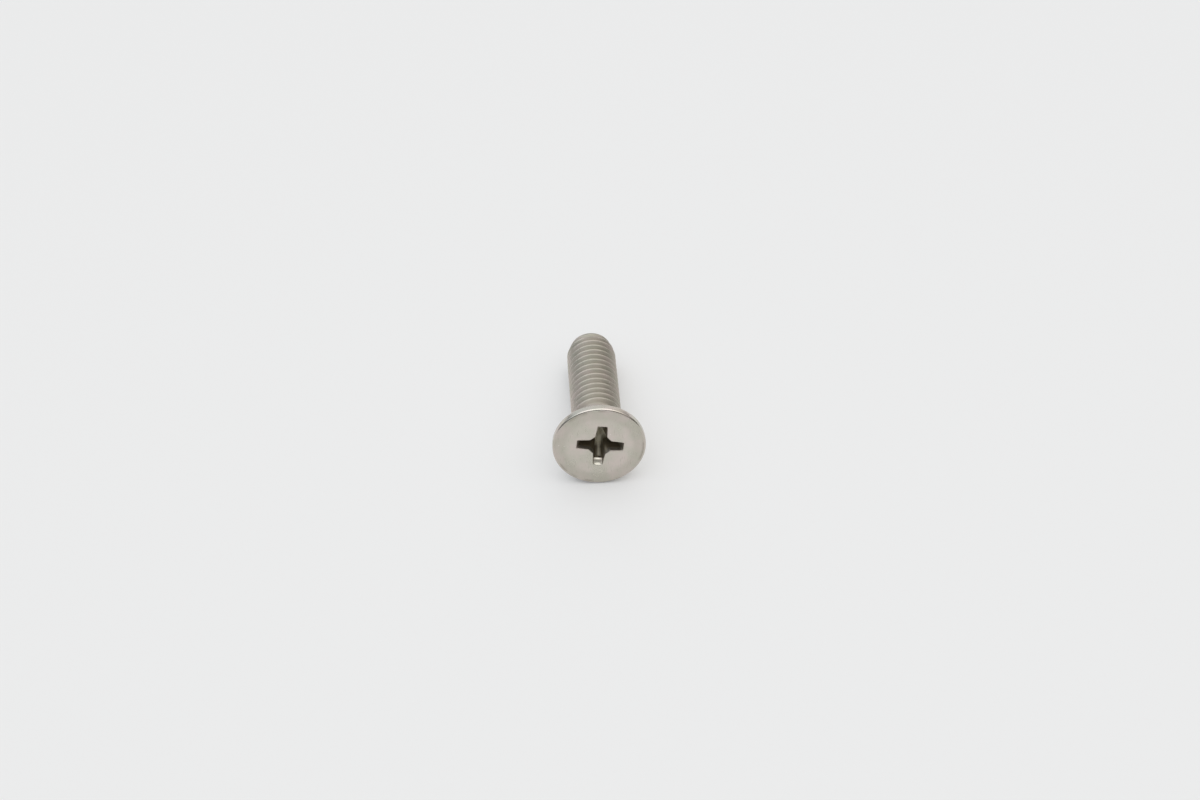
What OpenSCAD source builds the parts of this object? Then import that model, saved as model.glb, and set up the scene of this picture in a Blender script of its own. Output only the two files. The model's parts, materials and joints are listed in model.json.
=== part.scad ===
// Countersunk machine screw with a cross recess, lying on its side as it comes to rest on a flat surface.
// The surface is the plane z = 0. The head's face looks along -Y and the tip points along +Y.
// All sizes are in millimetres.

/* [Head] */
// Diameter of the head at its rim
head_d = 9.0; // [8.4:0.1:10.2]
// Depth of the straight rim below the flat face
rim_h = 0.7; // [0.4:0.05:1]
// Radius of the worn edge round the face
edge_round = 0.15; // [0.06:0.01:0.3]
// Full angle of the cone under the head
seat_angle = 90; // [80:1:100]

/* [Cross recess] */
// Distance across two opposite wings at the face
recess_d = 4.56; // [3.8:0.02:5]
// Width of a wing's outer end at the face
wing_w = 0.96; // [0.8:0.02:1.1]
// Width that a wing's sides flare to where they would meet the axis, at the face
wing_mid_w = 1.3; // [1.1:0.02:1.5]
// Draft of a wing's outer end on either side, from the screw's axis
wing_draft = 5.75; // [4:0.25:7]
// Slope of a wing's outer end, from the screw's axis
wing_slope = 26.5; // [22:0.5:28]
// Depth of the wings below the face
wing_depth = 2.25; // [1.8:0.05:2.4]
// Reach of the sloping corners between the wings, from the axis at the face
corner_reach = 1.6; // [1.4:0.05:1.8]
// Slope of these corners, from the screw's axis
corner_slope = 22; // [20:0.5:26]
// Diameter of the pointed bottom where it meets the wings
point_d = 0.9; // [0.7:0.05:0.95]
// Depth of the pointed bottom below the wings
point_depth = 0.45; // [0.3:0.05:0.6]
// Clockwise turn of the recess, seen from in front of the face
recess_turn = 6.7; // [-45:0.1:45]
// Distance by which the recess was pressed to the right of the axis
recess_right = 0.09; // [-0.2:0.01:0.2]
// Distance by which the recess was pressed above the axis
recess_up = 0.12; // [-0.2:0.01:0.2]

/* [Shank] */
// Length of the screw, from its face to its tip
length = 16; // [12:0.5:30]
// Diameter of the plain neck under the head
neck_d = 4.4; // [4.2:0.05:4.6]
// Distance from the face to the end of the plain neck
neck_end = 4.3; // [3.8:0.1:5]
// Length of the blend between the neck and the cone of the head
neck_blend = 0.5; // [0.3:0.05:0.8]

/* [Thread] */
// Diameter over the crests of the thread
thread_d = 4.9; // [4.8:0.02:5]
// Distance from one crest to the next
pitch = 0.8; // [0.7:0.05:1]
// Width of the flat on a crest
crest_w = 0.11; // [0.06:0.01:0.16]
// Width of the flat at the bottom of a groove
root_w = 0.18; // [0.1:0.01:0.22]
// Angle between the two flanks of a groove
flank_angle = 60; // [55:1:65]
// Place of the crests round the screw, as a share of one turn
thread_start = 0.0; // [0:0.01:1]
// Diameter of the flat end at the tip
tip_d = 4.1; // [3.8:0.05:4.3]
// Length of the tapered lead at the tip
tip_taper = 1.3; // [0.8:0.05:1.6]

/* [Hidden] */

steel = [0.68, 0.67, 0.64];
round_steps = 96;
edge_steps = 4;

// The radii that the other sizes follow
head_r = head_d / 2;
neck_r = neck_d / 2;
crest_r = thread_d / 2;
tip_r = tip_d / 2;

// The head's cone, from the rim down to the neck, with the blend measured back from its foot
seat_slope = tan(seat_angle / 2);
seat_end = rim_h + (head_r - neck_r) / seat_slope;
blend_out = neck_blend * seat_slope / 2;

// The recess at the face, and the share of each size that is left at the depth of its wings
wing_outline = [
    [recess_d / 2, -wing_w / 2],
    [recess_d / 2, wing_w / 2],
    [0, wing_mid_w / 2],
    [-recess_d / 2, wing_w / 2],
    [-recess_d / 2, -wing_w / 2],
    [0, -wing_mid_w / 2]
];
wing_left = [
    1 - 2 * wing_depth * tan(wing_slope) / recess_d,
    1 - 2 * wing_depth * tan(wing_draft) / wing_w
];
corner_outline = [[corner_reach, 0], [0, corner_reach], [-corner_reach, 0], [0, -corner_reach]];
corner_left = 1 - wing_depth * tan(corner_slope) / corner_reach;
point_end_d = point_d / 4;
cut_room = 0.2;

// The thread's groove: its flanks take what the two flats leave of a pitch
flank_w = (pitch - crest_w - root_w) / 2;
flank_slope = 1 / tan(flank_angle / 2);
root_r = crest_r - flank_w * flank_slope;

// Rows of points along the thread: one crest and one groove in each pitch
facets_per_turn = 36;
row_places = [-crest_w / 2, crest_w / 2, crest_w / 2 + flank_w, pitch - crest_w / 2 - flank_w];
row_radii = [crest_r, crest_r, root_r, root_r];
rows_per_pitch = len(row_places);

// The thread runs under the neck and past the tip, and two cones trim it to length
runout_h = 0.45;
hidden_h = 0.25;
trim_room = 0.2;
thread_from = neck_end - runout_h - hidden_h;
first_pitch = floor(thread_from / pitch - thread_start) - 1;
last_pitch = ceil(length / pitch - thread_start) + 1;
row_count = (last_pitch - first_pitch) * rows_per_pitch;
taper_from = length - tip_taper;
lead_slope = (crest_r - tip_r) / tip_taper;

// The lowest line of the lying screw: where its crests begin, counted from the face
low_angle = 90;
low_offset = pitch * (thread_start + low_angle / 360) - crest_w / 2;
last_full = floor((taper_from - low_offset) / pitch);

// The screw lies on the back edge of its rim and on the first crest near the tip to touch, which set its tilt
tilt = min([for (crest = [last_full - 1 : last_full + 1]) touching_tilt(low_offset + crest * pitch)]);
lift = rim_h * sin(tilt) + head_r * cos(tilt);
front = -head_r * sin(tilt);
back = length * cos(tilt) + tip_r * sin(tilt);

// Tilt at which a crest touches the surface: at its far edge, or where the tapered lead cuts its near flank
function touching_tilt(crest_from) =
    let (
        cut = (flank_slope * crest_from + lead_slope * taper_from) / (flank_slope + lead_slope),
        whole = crest_from <= taper_from,
        place = whole ? min(crest_from + crest_w, taper_from) : cut,
        r = whole ? crest_r : crest_r - (cut - taper_from) * lead_slope
    )
    atan((head_r - r) / (place - rim_h));

// Distance of a row of the thread from the face, on the line at angle 0
function row_place(row) =
    pitch * (first_pitch + thread_start + floor(row / rows_per_pitch)) + row_places[row % rows_per_pitch];

// A point of the thread: each row climbs one pitch in a turn
function thread_point(row, step) =
    let (angle = 360 * step / facets_per_turn, r = row_radii[row % rows_per_pitch])
    [r * cos(angle), r * sin(angle), row_place(row) + pitch * angle / 360];

// Number of a point, where the end of a turn is the same row's place one pitch higher
function point_number(row, step) =
    step == facets_per_turn ? (row + rows_per_pitch) * facets_per_turn : row * facets_per_turn + step;

// The head with its neck, turned as one solid about the screw's axis
module head() {
    worn_edge = [
        for (step = [0 : edge_steps])
            let (angle = 90 * step / edge_steps)
            [head_r - edge_round * (1 - sin(angle)), edge_round * (1 - cos(angle))]
    ];
    below = [
        [head_r, rim_h],
        [neck_r + blend_out, seat_end - blend_out / seat_slope],
        [neck_r, seat_end + neck_blend],
        [neck_r, neck_end - runout_h],
        [root_r - trim_room, neck_end],
        [0, neck_end]
    ];
    rotate_extrude($fn = round_steps)
        polygon(concat([[0, 0]], worn_edge, below));
}

// A cutter with an outline at the face that shrinks to the shares in left at its depth, and that begins
// a little in front of the face for a clean cut
module tapered_cut(outline, left, depth) {
    start = [for (share = left) 1 + (1 - share) * cut_room / depth];
    translate([0, 0, -cut_room])
        linear_extrude(height = depth + cut_room, scale = [left[0] / start[0], left[1] / start[1]])
            polygon([for (corner = outline) [corner[0] * start[0], corner[1] * start[1]]]);
}

// The cross recess: two pairs of wings, the sloping corners between them and a pointed bottom
module recess() {
    translate([recess_right, -recess_up, 0]) rotate([0, 0, recess_turn]) {
        tapered_cut(wing_outline, wing_left, wing_depth);
        rotate([0, 0, 90])
            tapered_cut(wing_outline, wing_left, wing_depth);
        tapered_cut(corner_outline, [corner_left, corner_left], wing_depth);
        translate([0, 0, wing_depth])
            cylinder(h = point_depth, d1 = point_d, d2 = point_end_d, $fn = round_steps);
        translate([0, 0, wing_depth - cut_room])
            cylinder(h = cut_room, d = point_d, $fn = round_steps);
    }
}

// The right-hand thread as one closed surface, longer than it needs to be at both ends
module helix() {
    points = [for (row = [0 : row_count - 1], step = [0 : facets_per_turn - 1]) thread_point(row, step)];
    low_end = [0, 0, row_place(0)];
    high_end = [0, 0, row_place(row_count - 1) + pitch / 2];
    low = len(points);
    high = low + 1;
    top = row_count - rows_per_pitch - 1;
    sides = [
        for (row = [0 : top - 1], step = [0 : facets_per_turn - 1], half = [0, 1])
            let (
                a = point_number(row, step),
                b = point_number(row, step + 1),
                c = point_number(row + 1, step + 1),
                d = point_number(row + 1, step)
            )
            half == 0 ? [a, c, b] : [a, d, c]
    ];
    low_fan = [
        for (step = [0 : facets_per_turn - 1])
            [low, point_number(0, step), point_number(0, step + 1)]
    ];
    low_step = [
        for (row = [0 : rows_per_pitch - 1])
            [low, point_number(row + 1, 0), point_number(row, 0)]
    ];
    high_fan = [
        for (step = [0 : facets_per_turn - 1])
            [high, point_number(top, step + 1), point_number(top, step)]
    ];
    high_step = [
        for (row = [top : top + rows_per_pitch - 1])
            [high, point_number(row, 0), point_number(row + 1, 0)]
    ];
    polyhedron(
        points = concat(points, [low_end, high_end]),
        faces = concat(sides, low_fan, low_step, high_fan, high_step)
    );
}

// What the thread is trimmed to: a cone out of the neck, a plain stretch and the tapered lead
module thread_envelope() {
    outer_r = crest_r + trim_room;
    run_slope = (crest_r - root_r) / runout_h;
    rotate_extrude($fn = round_steps)
        polygon([
            [0, thread_from],
            [neck_r - trim_room / 2, thread_from],
            [neck_r - trim_room / 2, neck_end - runout_h],
            [outer_r, neck_end - runout_h + (outer_r - neck_r + trim_room / 2) / run_slope],
            [outer_r, taper_from - trim_room / lead_slope],
            [tip_r, length],
            [0, length]
        ]);
}

// The whole screw along its own axis, with the face at the origin
module upright_screw() {
    difference() {
        union() {
            head();
            intersection() {
                helix();
                thread_envelope();
            }
        }
        recess();
    }
}

// The screw laid down on the surface, centred over the origin
module machine_screw() {
    color(steel)
        translate([0, -(front + back) / 2, lift])
            rotate([-(90 + tilt), 0, 0])
                upright_screw();
}

machine_screw();
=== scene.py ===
# %% [markdown]
# # A countersunk machine screw on a pale table
#
# A small stainless steel screw lies on its side. We look down on its flat head, with the thread
# running away from us. A screw is headed and rolled from one length of wire, so it is one piece:
# here it is one closed surface, worked out with numpy as rows of points along the screw's axis
# and columns of points around it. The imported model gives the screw's place and its mounts.

# %% Load the frame
import json
import math

import bmesh
import bpy
import numpy as np
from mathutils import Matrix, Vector


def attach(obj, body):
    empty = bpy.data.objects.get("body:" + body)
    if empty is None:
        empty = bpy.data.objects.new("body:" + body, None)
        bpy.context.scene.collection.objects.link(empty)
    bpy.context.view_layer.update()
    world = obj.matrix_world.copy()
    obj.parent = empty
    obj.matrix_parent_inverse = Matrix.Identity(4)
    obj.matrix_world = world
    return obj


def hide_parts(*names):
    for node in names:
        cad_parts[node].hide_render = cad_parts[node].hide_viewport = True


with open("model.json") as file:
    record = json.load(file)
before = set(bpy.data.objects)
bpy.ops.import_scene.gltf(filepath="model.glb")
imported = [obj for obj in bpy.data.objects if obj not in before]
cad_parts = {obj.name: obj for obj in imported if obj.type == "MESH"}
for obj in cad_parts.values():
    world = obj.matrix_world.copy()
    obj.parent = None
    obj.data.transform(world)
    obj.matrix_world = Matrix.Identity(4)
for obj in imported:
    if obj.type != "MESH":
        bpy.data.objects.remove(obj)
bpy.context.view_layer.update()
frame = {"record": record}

MM = 0.001
NODE = "machine_screw"
mounts = {mount["name"]: mount for mount in frame["record"]["mounts"]}
print("mounts:", sorted(mounts))

# %% [markdown]
# ## The screw's own directions
#
# Every shape below is first worked out in the screw's own directions: x across, y down, and s
# along the axis from the face to the tip, all in millimetres. The mounts say where the face lies
# and which way the axis points, because the screw rests tilted, on its rim and its last crest.

# %% From the screw's own directions to the frame
rim_h = 0.7
to_tip = np.array(mounts["thread"]["axis"])
face_centre = np.array(mounts["countersink_seat"]["pos_m"]) - rim_h * MM * to_tip
across = np.array([1.0, 0.0, 0.0])
downward = np.cross(to_tip, across)
tilt = math.degrees(math.asin(-to_tip[2]))
print(f"the screw rests tilted by {tilt:.2f} degrees")


def lay_down(x, y, s):
    """Points in metres: the face's centre, plus x across, y downward and s towards the tip."""
    local = np.stack([x, y, s], axis=-1) * MM
    return face_centre + local @ np.stack([across, downward, to_tip])


# %% [markdown]
# ## The sizes
#
# The mounts hold the sizes that another part would have to fit: the thread, the seat under the
# head and the recess. The rest are the same values as in the part's source. The last cell holds
# what only the picture needs: small rounds, which catch the light, and the wear of a used screw.

# %% Sizes of the head and the shank in millimetres
head_r = mounts["countersink_seat"]["dims"]["r_mm"]
crest_r = mounts["thread"]["dims"]["r_mm"]
thread_h = mounts["thread"]["dims"]["length_mm"]

edge_round = 0.15
neck_r = 2.2
neck_end = 4.3
neck_blend = 0.5
seat_end = rim_h + head_r - neck_r
length = neck_end + thread_h
tip_r = 2.05
tip_taper = 1.3

pitch = 0.8
crest_w = 0.11
root_w = 0.18
flank_slope = math.sqrt(3)
root_r = crest_r - (pitch - crest_w - root_w) / 2 * flank_slope
thread_start = 0.0
runout_h = 0.45
print(f"length {length:.2f} mm, groove {crest_r - root_r:.3f} mm deep")

# %% Sizes of the recess in millimetres
recess_r = mounts["drive_recess"]["dims"]["r_mm"]
recess_shift = (np.array(mounts["drive_recess"]["pos_m"]) - face_centre) / MM
recess_x, recess_y = recess_shift @ across, recess_shift @ downward
recess_turn = math.radians(6.7)

wing_w, wing_mid_w = 0.96, 1.3
wing_depth = 2.25
wing_draft = math.tan(math.radians(5.75))
wing_slope = math.tan(math.radians(26.5))
corner_reach = 1.6
corner_slope = math.tan(math.radians(22))
point_r = 0.45
point_depth = 0.45
print(f"the recess was pressed {recess_x:.2f} mm to the right and {-recess_y:.2f} mm up")

# %% Rounds and wear in millimetres
# The round on the face's edge, worn wider than it is deep, and those of the rim and the tip
edge_worn = 0.2
rim_round = 0.05
tip_round = 0.06
# The rounds on the thread's crests, in its grooves and where the taper begins
crest_round, groove_round, taper_round = 0.03, 0.06, 0.02
# Where the grooves reach their full depth, before the end of the neck
full_groove = 0.1
# How far the worn wing's end has come in at some depths: it drops, slopes out as a ledge, drops
# again and goes on at the usual slope
ledge_depths = (0, 0.17, 0.22, 0.33, 0.4, 0.49, 0.54, 0.9, wing_depth)
ledge_reach = (0, 0.02, 0.09, 0.28, 0.37, 0.435, 0.45, 0.9 * wing_slope, wing_depth * wing_slope)
# The extra slope of the wall that leans, on the upper wing's left side
wall_lean = 0.13
print(f"the ledge lies {ledge_depths[1]:.2f} to {ledge_depths[6]:.2f} mm below the face")

# %% [markdown]
# ## The columns
#
# One set of columns runs over the whole screw, from the bottom of the recess, out over the face,
# down the head and along the thread. They are spaced so that the corners of the cross fall on
# columns: half a wing's end, a wing's side and half a sloping corner, eight times round. They
# start at the right wing and go clockwise, as we see the face: lower, left and upper wing. Wear
# and soil sit in one place of the cross, so they are told where to be by the same columns.

# %% Columns round the axis
end_steps, side_steps, corner_steps = 6, 6, 8
half_wing = end_steps + side_steps + corner_steps
columns = 8 * half_wing
angles = recess_turn + np.linspace(0, 2 * np.pi, columns + 1)
print(columns, "columns")


def near_column(middle, width, power=2):
    """1 at a column and 0 away from it: exp of minus a power of the distance, in widths."""
    return np.exp(-((np.arange(columns + 1) - middle) / width) ** power)


def ring(radius, place):
    """A row of points at one radius (or one for each column) and one distance from the face."""
    radius = np.broadcast_to(radius, angles.shape)
    place = np.broadcast_to(place, angles.shape)
    return np.stack([radius * np.cos(angles), radius * np.sin(angles), place], axis=-1)


# %% Places on the cross
# Middles and widths are in columns. The last column is the first again, so the right wing's
# middle lies on both, and the four wings have five middles
lower_middle = columns / 4
lower_wing = near_column(lower_middle, 8, power=6)
lower_lip = near_column(lower_middle, 4.6, power=4)
lower_streak = near_column(lower_middle - 1.5, 2.5)
lower_right = near_column(columns / 8 + 2, 5)
upper_left = near_column(0.695 * columns, 5)
upper_right = near_column(0.8 * columns, 16)
wing_ends = sum(near_column(wing * columns / 4, 2.5) for wing in range(5))
print(f"the lower wing's wear takes {lower_wing.sum():.0f} columns and its lip {lower_lip.sum():.0f}")

# %% [markdown]
# ## The cross recess
#
# A cross recess is pressed into the head by a hardened punch: four wings that narrow as they go
# down, with a sloping corner between each pair and a pointed bottom. At any depth its outline is
# fixed by four corner points, so a row of the surface is those points joined by straight lines,
# softened a little, because a punch's edges are never quite sharp. The driver's point has worn a
# small ledge into the end of the lower wing, which catches the light. The upper wing's left wall
# leans in a little more than the other walls do, which are as the punch left them.

# %% Steps along half a wing
def crowded(steps, power=0.6):
    """Numbers from 0 to 1 that crowd towards both ends, where the corners are."""
    even = np.linspace(-1, 1, steps + 1)
    return (np.sign(even) * np.abs(even) ** power + 1) / 2


outline_steps = np.concatenate([
    crowded(end_steps)[:-1],
    1 + crowded(side_steps)[:-1],
    2 + np.linspace(0, 1, corner_steps + 1),
])
print(len(outline_steps), "points on half a wing and half a corner")

# %% Outline of the recess at a depth
softenings = 2


def recess_outline(depth, widen=0.0, worn=False):
    """
    A row of points round the cross at a depth. Half a wing runs from its end's middle to its
    end's corner, along its flaring side to where the sloping corner begins, and to that slope's
    middle. The other half mirrors it, and a quarter turn repeats it four times. Each point then
    moves to the mean of itself and its neighbours, which rounds the corners.
    """
    come_in = np.interp(depth, ledge_depths, ledge_reach) if worn else depth * wing_slope
    end = recess_r - come_in + widen
    narrowed = 1 - 2 * depth * wing_draft / wing_w
    half_w = narrowed * wing_w / 2 + widen
    half_mid = narrowed * wing_mid_w / 2 + widen
    flare = (half_mid - half_w) / (recess_r - depth * wing_slope)
    reach = corner_reach - depth * corner_slope + 2 * widen
    meet = max((reach - half_mid) / (1 - flare), half_mid / (1 + flare))
    middle = max(reach / 2, half_mid / (1 + flare))
    corners = np.array([
        [end, 0],
        [end, half_mid - flare * end],
        [meet, half_mid - flare * meet],
        [middle, middle],
    ])
    half = np.stack([np.interp(outline_steps, range(4), corners[:, axis]) for axis in (0, 1)], axis=-1)
    quarter = np.concatenate([half, half[-2:0:-1, ::-1]])
    turns = np.arange(4) * np.pi / 2
    x = np.concatenate([quarter[:, 0] * np.cos(t) - quarter[:, 1] * np.sin(t) for t in turns])
    y = np.concatenate([quarter[:, 0] * np.sin(t) + quarter[:, 1] * np.cos(t) for t in turns])
    for _ in range(softenings):
        x = x / 2 + (np.roll(x, 1) + np.roll(x, -1)) / 4
        y = y / 2 + (np.roll(y, 1) + np.roll(y, -1)) / 4
    x = x + wall_lean * depth * upper_left[:-1]
    cosine, sine = math.cos(recess_turn), math.sin(recess_turn)
    x, y = x * cosine - y * sine + recess_x, x * sine + y * cosine + recess_y
    row = np.stack([x, y, np.full_like(x, depth)], axis=-1)
    return np.concatenate([row, row[:1]])


# %% [markdown]
# The rows of the recess start at its lowest point, in the middle. They go out over the pointed
# bottom to the foot of the walls, up the walls and over a small round at the lip, which is wider
# where the driver has worn it. They lie closest together where the ledge bends.

# %% Rows of the recess
def between(first, last, shares):
    """Rows that lie between two rows, at the given shares of the way."""
    return [first + (last - first) * share for share in shares]


def mixed(first, last, share):
    """A row that goes from one row to another, with its own share at each column."""
    return first + (last - first) * share[:, None]


shift = np.array([recess_x, recess_y, 0])
bottom = wing_depth + point_depth
point_end = shift + ring(point_r / 4, bottom)
point_mouth = shift + ring(point_r, wing_depth)
recess_rows = [shift + ring(r, bottom) for r in (0, 0.06)] + [point_end]
recess_rows += between(point_end, point_mouth, (0.3, 0.6, 0.9, 1))
recess_rows += between(point_mouth, recess_outline(wing_depth), (0.3, 0.7, 0.95, 1))
wall_depths = (
    2.2, 2.0, 1.7, 1.4, 1.2, 1.05, 0.9, 0.75, 0.62, 0.56,
    0.53, 0.5, 0.45, 0.41, 0.37, 0.33, 0.28, 0.22, 0.19, 0.17,
)
recess_rows += [
    mixed(recess_outline(depth), recess_outline(depth, worn=True), lower_wing)
    for depth in wall_depths
]
print(len(recess_rows), "rows in the recess")

# %% Rows of the lip
# Depths and widenings along the round at the lip, as pressed and as worn
sharp_lip = [(0.04, 0), (0.036, 0), (0.028, 0.002), (0.012, 0.011), (0.003, 0.025), (0, 0.04)]
worn_lip = [(0.15, 0), (0.13, 0.005), (0.1, 0.025), (0.05, 0.065), (0.015, 0.095), (0, 0.12)]
lip_rows = [
    mixed(recess_outline(*sharp), recess_outline(*worn, worn=True), lower_lip)
    for sharp, worn in zip(sharp_lip, worn_lip)
]
print(len(lip_rows), "rows over the lip")

# %% [markdown]
# ## The head and the neck
#
# The face is flat and its edge is worn to a small round. Below it come a straight rim, the cone
# that seats in a countersink, and a blend into the plain neck. Each is a short list of radii and
# distances from the face, turned round the axis.

# %% Rows of the face
face_shares = (0.02, 0.08, 0.2, 0.3, 0.4, 0.48, 0.56, 0.64, 0.72, 0.8, 0.88, 0.95, 0.985, 1)
face_rows = between(lip_rows[-1], ring(head_r - edge_worn, 0), face_shares)
print(len(face_rows), "rows over the face")

# %% Rows of the rim, the cone and the neck
round_angles = np.radians(np.arange(10, 100, 10))
edge_r = head_r - edge_worn * (1 - np.sin(round_angles))
edge_s = edge_round * (1 - np.cos(round_angles))
rim_s = np.array([0.35, 0.5])
# The rim's back edge: places past it and insets from the rim, in shares of its small round
back_edge = np.array([(-2, 0), (-1, 0.06), (-0.4, 0.25), (0.5, 0.5), (1.5, 1.5)]) * rim_round
# The cone slopes at 45 degrees, so a row's inset is also its distance past the rim
cone_inset = np.array([0.2, 0.5, 1.0, 1.4, 1.8, 1.95])

blend_start = np.array([neck_r + neck_blend / 2, seat_end - neck_blend / 2])
blend_corner = np.array([neck_r, seat_end])
blend_end = np.array([neck_r, seat_end + neck_blend])
blend = np.linspace(0, 1, 9)
blend_line = (
    np.outer((1 - blend) ** 2, blend_start)
    + np.outer(2 * blend * (1 - blend), blend_corner)
    + np.outer(blend ** 2, blend_end)
)
profile_r = np.concatenate([
    edge_r, np.full(len(rim_s), head_r), head_r - back_edge[:, 1], head_r - cone_inset, blend_line[:, 0],
])
profile_s = np.concatenate([edge_s, rim_s, rim_h + back_edge[:, 0], rim_h + cone_inset, blend_line[:, 1]])
head_rows = [ring(r, s) for r, s in zip(profile_r, profile_s)]
print(len(head_rows), "rows down the head")

# %% [markdown]
# ## The thread
#
# The thread is rolled: dies press a groove into the blank, and the metal rises to a crest beside
# it. Rows that lay straight across would cut the crests into steps, so each row here climbs by
# one pitch in a turn, as the crest does. Rows that would start before the neck or end past the
# tip are held at the thread's two ends, and the points that then coincide are merged later.

# %% Soft corners and rises
def soft_max(a, b, width):
    """The larger of two values, with the corner between them rounded over about this width."""
    return (a + b + np.sqrt((a - b) ** 2 + width ** 2)) / 2


def soft_min(a, b, width):
    """The smaller of two values, rounded in the same way."""
    return (a + b - np.sqrt((a - b) ** 2 + width ** 2)) / 2


def smooth_rise(value, low, high):
    """0 below low, 1 above high, and a smooth rise 3 t^2 - 2 t^3 between them."""
    t = np.clip((value - low) / (high - low), 0, 1)
    return t * t * (3 - 2 * t)


# %% Radius of the thread
def thread_radius(angle, s):
    """
    Radius of the thread at an angle and a distance from the face. It is the crest's radius near
    the crest's line, which climbs one pitch a turn, and falls along a 60 degree flank to the root.
    """
    phase = s / pitch - thread_start - angle / (2 * np.pi)
    away = np.abs(phase - np.round(phase)) * pitch
    fall = soft_max((away - crest_w / 2) * flank_slope, 0, crest_round)
    return crest_r - soft_min(fall, crest_r - root_r, groove_round)


def shank_radius(angle, s):
    """
    Radius of the neck and the thread: the neck's radius, going over to the thread's across the
    run-out, or the taper's radius where that is smaller.
    """
    rolled = smooth_rise(s, neck_end - runout_h, neck_end - full_groove)
    taper = tip_r + (length - s) * (crest_r - tip_r) / tip_taper
    return soft_min(neck_r + (thread_radius(angle, s) - neck_r) * rolled, taper, taper_round)


# %% Rows of the thread
# Distances of the rows from a crest's middle, closest together at the crest and in the groove
offsets = np.array([0, 0.035, 0.06, 0.09, 0.14, 0.19, 0.24, 0.28, 0.31, 0.34, 0.37])
row_phases = np.concatenate([offsets, pitch - offsets[:0:-1]])
plain_h = 0.05
thread_from = neck_end - runout_h - plain_h
thread_to = length - tip_round
first = math.floor(thread_from / pitch - thread_start - angles[-1] / (2 * np.pi)) - 1
last = math.ceil(thread_to / pitch - thread_start - angles[0] / (2 * np.pi)) + 1
crests = pitch * (np.arange(first, last) + thread_start)
row_starts = np.sort((crests[:, None] + row_phases).ravel())
thread_s = np.clip(row_starts[:, None] + pitch * angles / (2 * np.pi), thread_from, thread_to)
thread_r = shank_radius(angles, thread_s)
thread_rows = np.stack([thread_r * np.cos(angles), thread_r * np.sin(angles), thread_s], axis=-1)
print(len(thread_rows), "rows along the thread")

# %% Rows of the tip
end_r = thread_r[-1]
tip_rows = [
    ring(end_r - tip_round * (1 - math.cos(t)), length - tip_round * (1 - math.sin(t)))
    for t in round_angles
]
tip_rows += [ring((end_r - tip_round) * share, length) for share in (0.95, 0.8, 0.5, 0.25, 0)]
print(len(tip_rows), "rows over the tip")

# %% [markdown]
# ## Soil, dust, oil and dullness
#
# A used screw keeps grime where a rag can't reach: in the recess and at the bottom of the thread.
# The same dark colour is also painted shade: on the sides of the rim, as a dark line on the edge
# of the face, on the outer part of the worn ledge, on the thread's right side and in part of the
# grooves' darkness. Less of it towards the thread's sides is painted light. Pale dust settles on
# top of it in the bottom of the recess, and the same pale colour is painted light on a wall, in a
# corner and in a streak of the recess. A thin film of oil gives a ring on the face and the top of
# the thread a greener cast. Edges that rub against things stay bright and smooth, and a rolled
# thread is duller than a pressed face. Each of these is one number for each point, from 0 to 1.
# They go into the mesh as attributes, and the material follows them.
#
# Each number is a sum of named places, each with its own weight. A place is 1 where it is and 0
# away from it, and it is made of the columns above and of smooth rises with the depth or radius.

# %% All rows in one grid
parts = [recess_rows, lip_rows, face_rows, head_rows, thread_rows, tip_rows]
rows = np.concatenate([np.array(part) for part in parts])
part_ends = np.cumsum([len(part) for part in parts])
inside, at_lip, on_face, on_head, on_thread, at_tip = np.split(np.arange(len(rows)), part_ends[:-1])
x, y, s = np.moveaxis(rows, -1, 0)
radius = np.hypot(x, y)
print(len(rows), "rows of", columns + 1, "points")

# %% Soil in the recess, with painted shade on the ledge
soil = np.zeros(radius.shape)
depth = s[inside]
deep = smooth_rise(depth, -0.1, 0.6)
rubbed = lower_lip * (1 - smooth_rise(depth, 0.6, 1.0))
# The outer part of the worn ledge is darker: painted shade over its reflection
shaded_outer_ledge = lower_lip * smooth_rise(depth, 0.12, 0.2) * (1 - smooth_rise(depth, 0.32, 0.42))
soil[inside] = deep - 0.1 * wing_ends - 0.68 * rubbed + 0.5 * shaded_outer_ledge
soil[at_lip] = 0.25 - 0.2 * lower_lip
print(f"soil in the recess {soil[inside].mean():.2f} on average")

# %% Soil on the face, and soil and painted shade on the head
face_angle = np.arctan2(y[on_face], x[on_face])
waves = np.sin(3 * face_angle + 1) + 0.7 * np.sin(8 * face_angle) + 0.6 * np.sin(17 * face_angle + 2)
scuffs = smooth_rise(waves, 0.2, 1.2)
outer_ring = smooth_rise(radius[on_face], 0.66 * head_r, 0.8 * head_r)
edge_ring = smooth_rise(radius[on_face], 0.9 * head_r, 0.96 * head_r)
soil[on_face] = 0.18 + 0.1 * outer_ring + (0.04 + 0.25 * scuffs) * edge_ring

from_top = np.abs(np.arctan2(x[on_head], -y[on_head]))
# The rim is darker on its sides, from 40 degrees off the top and fully past 60: painted shade, a dark
# reflection painted on
shaded_rim_sides = smooth_rise(from_top, math.radians(40), math.radians(60))
near_rim = 1 - smooth_rise(s[on_head], rim_h, 2 * rim_h)
near_face = 1 - smooth_rise(s[on_head], 0.2 * edge_round, 0.6 * edge_round)
# A dark line on the round of the face's edge, from about 6 degrees off the top round to the rim's sides:
# a painted dark reflection
painted_edge_shade = smooth_rise(from_top, math.radians(6), math.radians(22)) * (1 - shaded_rim_sides) * near_face
down_cone = smooth_rise(s[on_head], 0.5 * rim_h, 4 * rim_h)
soil[on_head] = 0.2 * down_cone + 0.28 * shaded_rim_sides * near_rim + 0.3 * painted_edge_shade
print(f"soil on the face {soil[on_face].mean():.2f}, on the head {soil[on_head].mean():.2f} on average")

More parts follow.
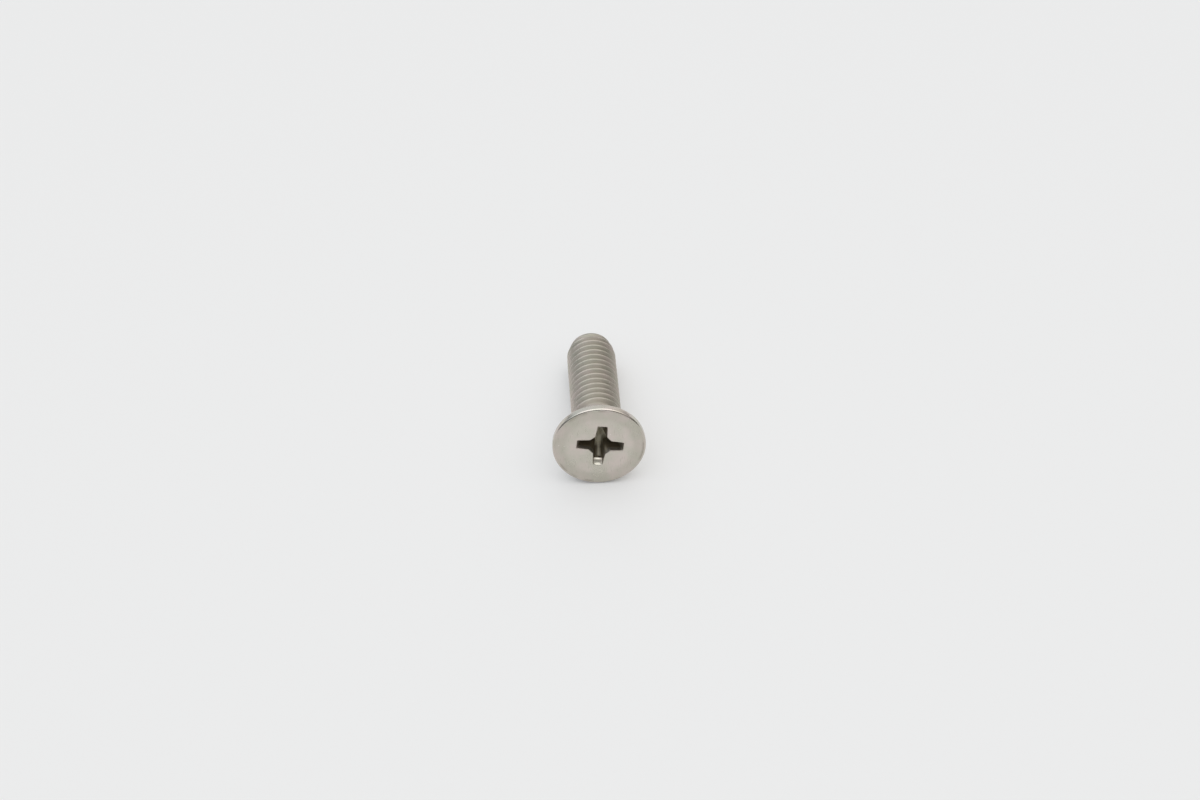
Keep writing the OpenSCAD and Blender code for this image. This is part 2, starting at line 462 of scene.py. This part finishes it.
# %% Soil, painted shade and painted light on the thread, and soil on the tip
groove = np.clip((crest_r - thread_r) / (crest_r - root_r), 0, 1)
sideways = x[on_thread] / crest_r
clean_end_h = 3
near_tip = smooth_rise(thread_s, length - clean_end_h, length)
# Darker in the grooves: grime and painted shade. A little darker to the right and lighter towards both
# sides: painted shade and painted light
soil[on_thread] = 0.36 + 0.17 * groove + 0.08 * sideways - 0.16 * np.abs(sideways) - 0.05 * near_tip
soil[at_tip] = 0.3
print(f"soil on the thread {soil[on_thread].mean():.2f} on average")

# %% Dullness, which becomes the metal's roughness
dullness = np.full(radius.shape, 0.42)
dullness[on_face] = 0.3
dullness[on_head] = 0.25
dullness[on_thread] = 0.52
dullness[inside] -= 0.17 * rubbed
dullness[at_lip] -= 0.17 * lower_lip
print(f"dullness from {dullness.min():.2f} to {dullness.max():.2f}")

# %% Dust and painted light in the recess
# Dust lies on the bottom of the recess. The same pale colour on the upper wing's left wall, in the lower
# right corner and in a streak down the lower wing is painted light: lit walls and a painted reflection
painted_wall_light = upper_left * smooth_rise(depth, 0.05, 0.3)
painted_corner_light = lower_right * (1 - smooth_rise(depth, 0.5, 1.2))
painted_streak_light = lower_streak * smooth_rise(depth, 0.55, 0.9)
floor_dust = (0.85 - 0.3 * upper_right) * smooth_rise(depth, 1.8, 2.2)
dust = np.zeros(radius.shape)
dust[inside] = 0.9 * painted_wall_light + 0.3 * painted_corner_light + 0.75 * painted_streak_light + floor_dust
dust = np.clip(dust, 0, 1)
print(f"dust in the recess {dust[inside].mean():.2f} on average")

# %% Oil on the face and along the top of the thread
face_ring = smooth_rise(radius[on_face], 0.6 * head_r, 0.85 * head_r)
low_side = smooth_rise(y[on_face], 0, head_r)
top_line = np.exp(-((sideways + 0.1) / 0.4) ** 2) * (y[on_thread] < 0)
oil = np.zeros(radius.shape)
oil[on_face] = face_ring * (0.5 + 0.5 * low_side)
oil[on_thread] = 0.8 * top_line
print(f"oil on the face {oil[on_face].mean():.2f}, on the thread {oil[on_thread].mean():.2f} on average")

# %% [markdown]
# ## One closed surface
#
# Neighbouring rows and columns make quads. The first row and the last are single points, and the
# last column lies on the first, so merging the points that coincide closes the surface. The
# faces are shaded smooth, except across edges that are truly sharp.

# %% One closed mesh
merge_mm = 0.0002
sharp_from = math.radians(50)


def closed_mesh(name, grid, fields):
    """A mesh of quads between neighbouring rows and columns, merged where points coincide."""
    count, width = grid.shape[:2]
    points = lay_down(grid[..., 0], grid[..., 1], grid[..., 2]).reshape(-1, 3)
    number = np.arange(count * width).reshape(count, width)
    quads = np.stack([number[:-1, :-1], number[:-1, 1:], number[1:, 1:], number[1:, :-1]], axis=-1)
    mesh = bpy.data.meshes.new(name)
    mesh.from_pydata(points, [], quads.reshape(-1, 4))
    for field, values in fields.items():
        mesh.attributes.new(field, "FLOAT", "POINT").data.foreach_set("value", values.ravel())
    work = bmesh.new()
    work.from_mesh(mesh)
    bmesh.ops.remove_doubles(work, verts=work.verts, dist=merge_mm * MM)
    bmesh.ops.dissolve_degenerate(work, dist=merge_mm * MM, edges=work.edges)
    bmesh.ops.recalc_face_normals(work, faces=work.faces)
    open_edges = sum(not edge.is_manifold for edge in work.edges)
    volume = work.calc_volume(signed=True)
    if volume < 0:
        bmesh.ops.reverse_faces(work, faces=work.faces)
    work.to_mesh(mesh)
    work.free()
    mesh.shade_smooth()
    mesh.set_sharp_from_angle(angle=sharp_from)
    print(f"{name}: {len(mesh.polygons)} faces, {open_edges} open edges, {abs(volume) * 1e9:.1f} mm3")
    return mesh


# %% The screw
fields = {"soil": soil, "dust": dust, "oil": oil, "dullness": dullness}
screw = bpy.data.objects.new("screw_surface", closed_mesh("screw_surface", rows, fields))
bpy.context.scene.collection.objects.link(screw)
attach(screw, "root")
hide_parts(NODE)

# %% [markdown]
# ## Materials
#
# Colours are written as they look on a screen and turned to the linear values that Blender
# computes with. One small helper adds a node, sets its values and joins its inputs.

# %% Colour and node helpers
def linear(code):
    """A screen colour such as 8090a0 as linear red, green and blue, with full opacity."""
    screen = np.array([int(code[i:i + 2], 16) for i in (0, 2, 4)]) / 255
    light = np.where(screen <= 0.04045, screen / 12.92, ((screen + 0.055) / 1.055) ** 2.4)
    return (*light.tolist(), 1.0)


def add(tree, kind, settings=None, **inputs):
    """
    Add a node. Settings are its own fields. An input is given by its name, or by its number as
    in _2, and takes a value or another node's socket.
    """
    made = tree.nodes.new(kind)
    for field, value in (settings or {}).items():
        setattr(made, field, value)
    for name, value in inputs.items():
        socket = made.inputs[int(name[1:])] if name[1:].isdigit() else made.inputs[name.replace("_", " ")]
        if isinstance(value, bpy.types.NodeSocket):
            tree.links.new(value, socket)
        else:
            socket.default_value = value
    return made


def new_material(name):
    """An empty node material and its tree."""
    material = bpy.data.materials.new(name)
    material.use_nodes = True
    material.node_tree.nodes.clear()
    return material, material.node_tree


# %% [markdown]
# ### Satin stainless steel
#
# Small stainless screws are tumbled after rolling, which leaves a dull, even satin with faint
# stains and a few fine scratches. The face shows soft patches about a millimetre and a half
# across, slightly pinker and slightly greener than the steel, and the recess is nearly black.
# Grime and dust lie on the metal and hide it, so there the surface is less metallic, and so it is
# where the same colours are painted shade and painted light. The grain of real tumbling is finer
# than the picture can show, so it is drawn as coarse as it needs to be.

# %% Colours and pattern sizes of the steel
# A scratch is as many times longer than wide as its pattern is stretched
greener_steel, pinker_steel = linear("d7d4c8"), linear("e5dbd4")
# The dark colour is grime and painted shade, the pale one dust and painted light
soil_and_shade_colour, dust_and_light_colour = linear("645b49"), linear("dcd6c1")
scratch_colour, speck_colour = linear("a09a8c"), linear("fbf6f0")
patch_size, scratch_length, speck_gap, grain_size = 1.5 * MM, 0.6 * MM, 0.8 * MM, 0.12 * MM
scratch_turn, scratch_stretch = 0.45, 12
oil_shift = -0.11
print("steel in linear light:", np.round(greener_steel, 3), "to", np.round(pinker_steel, 3))


# %% Stained steel
def stained(tree, patches, worn):
    """Steel from a greener to a pinker tone by patch and oil, going over to the dark colour of grime and
    painted shade with the soil.
    """
    # Oil moves the tone towards the greener end
    tone = add(
        tree, "ShaderNodeMath", {"operation": "MULTIPLY_ADD"},
        _0=worn["oil"], _1=oil_shift, _2=patches,
    )
    stain = add(tree, "ShaderNodeValToRGB", Fac=tone.outputs["Value"])
    greener, pinker = stain.color_ramp.elements
    greener.position, greener.color = 0.36, greener_steel
    pinker.position, pinker.color = 0.64, pinker_steel
    soiled_and_shaded = add(
        tree, "ShaderNodeMix", {"data_type": "RGBA"},
        Factor=worn["soil"], _6=stain.outputs["Color"], _7=soil_and_shade_colour,
    )
    return soiled_and_shaded.outputs[2]


# %% Scratches, specks and dust
def marked(tree, place, colour, worn):
    """The colour with long thin noise as scratches, small dots as specks, and dust and painted light over
    them.
    """
    along = add(
        tree, "ShaderNodeMapping", Vector=place,
        Rotation=(0, scratch_turn, 0), Scale=(scratch_stretch, 1, 1),
    )
    streaks = add(
        tree, "ShaderNodeTexNoise", Vector=along.outputs["Vector"],
        Scale=1 / scratch_length, Detail=1.0,
    )
    scratch = add(
        tree, "ShaderNodeMapRange", Value=streaks.outputs["Fac"],
        From_Min=0.66, From_Max=0.74, To_Max=0.5,
    )
    scratched = add(
        tree, "ShaderNodeMix", {"data_type": "RGBA"},
        Factor=scratch.outputs["Result"], _6=colour, _7=scratch_colour,
    )
    cells = add(tree, "ShaderNodeTexVoronoi", Vector=place, Scale=1 / speck_gap)
    speck = add(
        tree, "ShaderNodeMapRange", Value=cells.outputs["Distance"],
        From_Min=0.03, From_Max=0.07, To_Min=0.6, To_Max=0.0,
    )
    specked = add(
        tree, "ShaderNodeMix", {"data_type": "RGBA"},
        Factor=speck.outputs["Result"], _6=scratched.outputs[2], _7=speck_colour,
    )
    dusty_and_lit = add(
        tree, "ShaderNodeMix", {"data_type": "RGBA"},
        Factor=worn["dust"], _6=specked.outputs[2], _7=dust_and_light_colour,
    )
    return dusty_and_lit.outputs[2]


# %% Satin stainless steel
def satin_stainless():
    """Metal in the stained and marked colour, less metallic under grime, as rough as it is dull."""
    material, tree = new_material("satin_stainless_steel")
    place = add(tree, "ShaderNodeTexCoord").outputs["Object"]
    # The mesh's attributes: grime and painted shade, dust and painted light, oil and dullness
    worn = {
        field: add(tree, "ShaderNodeAttribute", {"attribute_name": field}).outputs["Fac"]
        for field in fields
    }
    patches = add(
        tree, "ShaderNodeTexNoise", Vector=place, Scale=1 / patch_size, Detail=3.0, Roughness=0.5,
    ).outputs["Fac"]
    colour = marked(tree, place, stained(tree, patches, worn), worn)
    # Thick grime and dust, and the painted shade and light that share their numbers, hide the metal
    clean = add(
        tree, "ShaderNodeMapRange", Value=worn["soil"],
        From_Min=0.6, From_Max=1.0, To_Min=1.0, To_Max=0.5,
    )
    bare = add(
        tree, "ShaderNodeMath", {"operation": "SUBTRACT", "use_clamp": True},
        _0=clean.outputs["Result"], _1=worn["dust"],
    )
    # The patches are a little duller or shinier than the rest
    uneven = add(
        tree, "ShaderNodeMapRange", Value=patches,
        From_Min=0.3, From_Max=0.7, To_Min=-0.04, To_Max=0.04,
    )
    dull = add(
        tree, "ShaderNodeMath", {"operation": "ADD"},
        _0=worn["dullness"], _1=uneven.outputs["Result"],
    )
    grain = add(tree, "ShaderNodeTexNoise", Vector=place, Scale=1 / grain_size, Detail=2.0)
    bump = add(tree, "ShaderNodeBump", Strength=0.15, Distance=0.02 * MM, Height=grain.outputs["Fac"])
    steel = add(
        tree, "ShaderNodeBsdfPrincipled", Metallic=bare.outputs["Value"],
        Base_Color=colour, Roughness=dull.outputs["Value"], Normal=bump.outputs["Normal"],
    )
    add(tree, "ShaderNodeOutputMaterial", Surface=steel.outputs["BSDF"])
    return material


screw.data.materials.append(satin_stainless())
print(len(screw.data.materials[0].node_tree.nodes), "nodes in the steel")

# %% [markdown]
# ## The table
#
# The screw was photographed on a plain pale surface that fills the picture. It only has to hold
# the shadow and to shine back into the metal, so it is one large square of painted board. Its
# paint is matt, so it shows no highlight and no mirror image of the screw.
#
# Light from all round would give a wide grey shadow, and the photograph's is fainter, except in a
# thin dark band where the screw touches the board. So the board also glows a little. The camera
# sees the glow, and so do mirrored and passing rays, because the metal has to mirror the board
# that the camera sees, but it lights no dull surface. Ambient occlusion tells how much of the
# board's sky the screw hides within 2 mm: where it hides most, the glow fades, and the dark
# band at the contact stays.

# %% Matt white board
shade_reach = 2.0 * MM
shade_near, shade_open = 0.42, 0.95
glow_near, glow_open = 0.09, 0.38


def matt_table():
    """Matt white board mixed with its own glow, by the ray's kind and by how open the place is."""
    material, tree = new_material("matt_white_table")
    white = linear("ebebeb")
    board = add(tree, "ShaderNodeBsdfPrincipled", Base_Color=white, Roughness=0.9)
    glow = add(tree, "ShaderNodeEmission", Color=white)
    ray = add(tree, "ShaderNodeLightPath").outputs
    seen_or_mirrored = add(
        tree, "ShaderNodeMath", {"operation": "MAXIMUM"},
        _0=ray["Is Camera Ray"], _1=ray["Is Glossy Ray"],
    )
    seen = add(
        tree, "ShaderNodeMath", {"operation": "MAXIMUM"},
        _0=seen_or_mirrored.outputs["Value"], _1=ray["Is Transmission Ray"],
    )
    openness = add(tree, "ShaderNodeAmbientOcclusion", {"samples": 16}, Distance=shade_reach)
    open_glow = add(
        tree, "ShaderNodeMapRange", Value=openness.outputs["AO"],
        From_Min=shade_near, From_Max=shade_open, To_Min=glow_near, To_Max=glow_open,
    )
    share = add(
        tree, "ShaderNodeMath", {"operation": "MULTIPLY"},
        _0=seen.outputs["Value"], _1=open_glow.outputs["Result"],
    )
    lit = add(
        tree, "ShaderNodeMixShader",
        _0=share.outputs["Value"], _1=board.outputs["BSDF"], _2=glow.outputs["Emission"],
    )
    add(tree, "ShaderNodeOutputMaterial", Surface=lit.outputs["Shader"])
    return material


# %% Pale table
table_half = 0.6
table_corners = np.array([[-1, -1, 0], [1, -1, 0], [1, 1, 0], [-1, 1, 0]]) * table_half
table_mesh = bpy.data.meshes.new("table")
table_mesh.from_pydata(table_corners, [], [(0, 1, 2, 3)])
table_mesh.materials.append(matt_table())
table = bpy.data.objects.new("table", table_mesh)
bpy.context.scene.collection.objects.link(table)
print(f"table {2 * table_half:.1f} m wide")

# %% [markdown]
# ## The light
#
# Metal shows what it mirrors, so the room is drawn for the screw. The face mirrors the table in
# front of it. The crests mirror a bright sky overhead, and the top of the rim a bright patch
# behind the screw. Round the rest of the horizon the room is dim, and that is the dark line
# just inside the bright edge of the face. The left side is a little bluer than the right, as
# daylight from a window on the left would be. One large soft lamp overhead adds to the faint
# shadow close to the screw.

# %% Brightness and colours of the room
horizon_light, sky_light, back_glow = 0.15, 1.02, 0.76
# Heights between which the horizon goes over to the sky, which reaches lower at the sides
sky_from, sky_to = 0.38, 0.74
side_lift = 0.16
# The way to the patch behind, and how far along it a direction has to point to be in the patch
back_way = (0, 1, 0.3)
back_from, back_to = 0.8, 0.86
warm_side, cool_side = linear("efece6"), linear("f4f9ff")
side_reach = 0.6
print("sky over horizon:", round(sky_light / horizon_light, 1))

# %% World
world = bpy.data.worlds.new("pale_room")
world.use_nodes = True
room_tree = world.node_tree
room_tree.nodes.clear()
sky_way = add(room_tree, "ShaderNodeTexCoord").outputs["Generated"]
way = add(room_tree, "ShaderNodeSeparateXYZ", Vector=sky_way).outputs
aside = add(room_tree, "ShaderNodeMath", {"operation": "ABSOLUTE"}, _0=way["X"])
height = add(
    room_tree, "ShaderNodeMath", {"operation": "MULTIPLY_ADD"},
    _0=aside.outputs["Value"], _1=side_lift, _2=way["Z"],
)
overhead = add(
    room_tree, "ShaderNodeMapRange", {"interpolation_type": "SMOOTHSTEP"},
    Value=height.outputs["Value"], From_Min=sky_from, From_Max=sky_to,
    To_Min=horizon_light, To_Max=sky_light,
)
behind = add(room_tree, "ShaderNodeVectorMath", {"operation": "DOT_PRODUCT"}, _0=sky_way, _1=back_way)
patch = add(
    room_tree, "ShaderNodeMapRange", {"interpolation_type": "SMOOTHSTEP"},
    Value=behind.outputs["Value"], From_Min=back_from, From_Max=back_to, To_Max=back_glow,
)
brightness = add(
    room_tree, "ShaderNodeMath", {"operation": "MAXIMUM"},
    _0=overhead.outputs["Result"], _1=patch.outputs["Result"],
)
to_left = add(room_tree, "ShaderNodeMapRange", Value=way["X"], From_Min=side_reach, From_Max=-side_reach)
daylight = add(
    room_tree, "ShaderNodeMix", {"data_type": "RGBA"},
    Factor=to_left.outputs["Result"], _6=warm_side, _7=cool_side,
)
room = add(
    room_tree, "ShaderNodeBackground",
    Color=daylight.outputs[2], Strength=brightness.outputs["Value"],
)
add(room_tree, "ShaderNodeOutputWorld", Surface=room.outputs["Background"])
bpy.context.scene.world = world
print(len(room_tree.nodes), "nodes in the world")


# %% Lamp
def facing(look):
    """Turn that points a lamp's or a camera's own -Z along a direction, with its top upward."""
    return Vector(look).to_track_quat("-Z", "Y").to_euler()


def soft_lamp(name, place, aim, size, power):
    """A square lamp at a place, turned to look at a point."""
    lamp = bpy.data.lights.new(name, "AREA")
    lamp.size = size
    lamp.energy = power
    holder = bpy.data.objects.new(name, lamp)
    holder.location = place
    holder.rotation_euler = facing(np.array(aim) - np.array(place))
    bpy.context.scene.collection.objects.link(holder)
    return holder


softbox = soft_lamp("overhead_softbox", (0.01, -0.02, 0.45), (0, 0, 0), size=0.7, power=0.9)
print(f"lamp {softbox.location.z:.2f} m up, {softbox.data.energy:.1f} W")

# %% [markdown]
# ## The camera
#
# The camera stands at the photograph's place. It was found by matching the outlines of the head,
# the shank and the thread's crests in the picture with the same lines on a screw of this size.

# %% Camera at the photograph's angle
picture_w = 1200
focal_pixels = 2204
distance = 222.7 * MM
elevation = math.radians(45.48)
turned = math.radians(3.26)
aim_across, aim_along = 0.07 * MM, 10.77 * MM
ahead = np.array([math.sin(turned), math.cos(turned), 0])
beside = np.array([math.cos(turned), -math.sin(turned), 0])
aim = np.array([face_centre[0], face_centre[1], 0]) + beside * aim_across + ahead * aim_along
stand = aim + distance * (np.array([0, 0, math.sin(elevation)]) - ahead * math.cos(elevation))

lens = bpy.data.cameras.new("camera")
lens.sensor_width = 36
lens.lens = focal_pixels / picture_w * lens.sensor_width
lens.clip_start = 0.01
camera = bpy.data.objects.new("camera", lens)
camera.location = stand
camera.rotation_euler = facing(aim - stand)
bpy.context.scene.collection.objects.link(camera)
bpy.context.scene.camera = camera
bpy.context.scene.view_settings.view_transform = "Standard"
print(f"lens {lens.lens:.1f} mm, {distance / MM:.0f} mm away")

# %% Finish
bpy.context.view_layer.update()
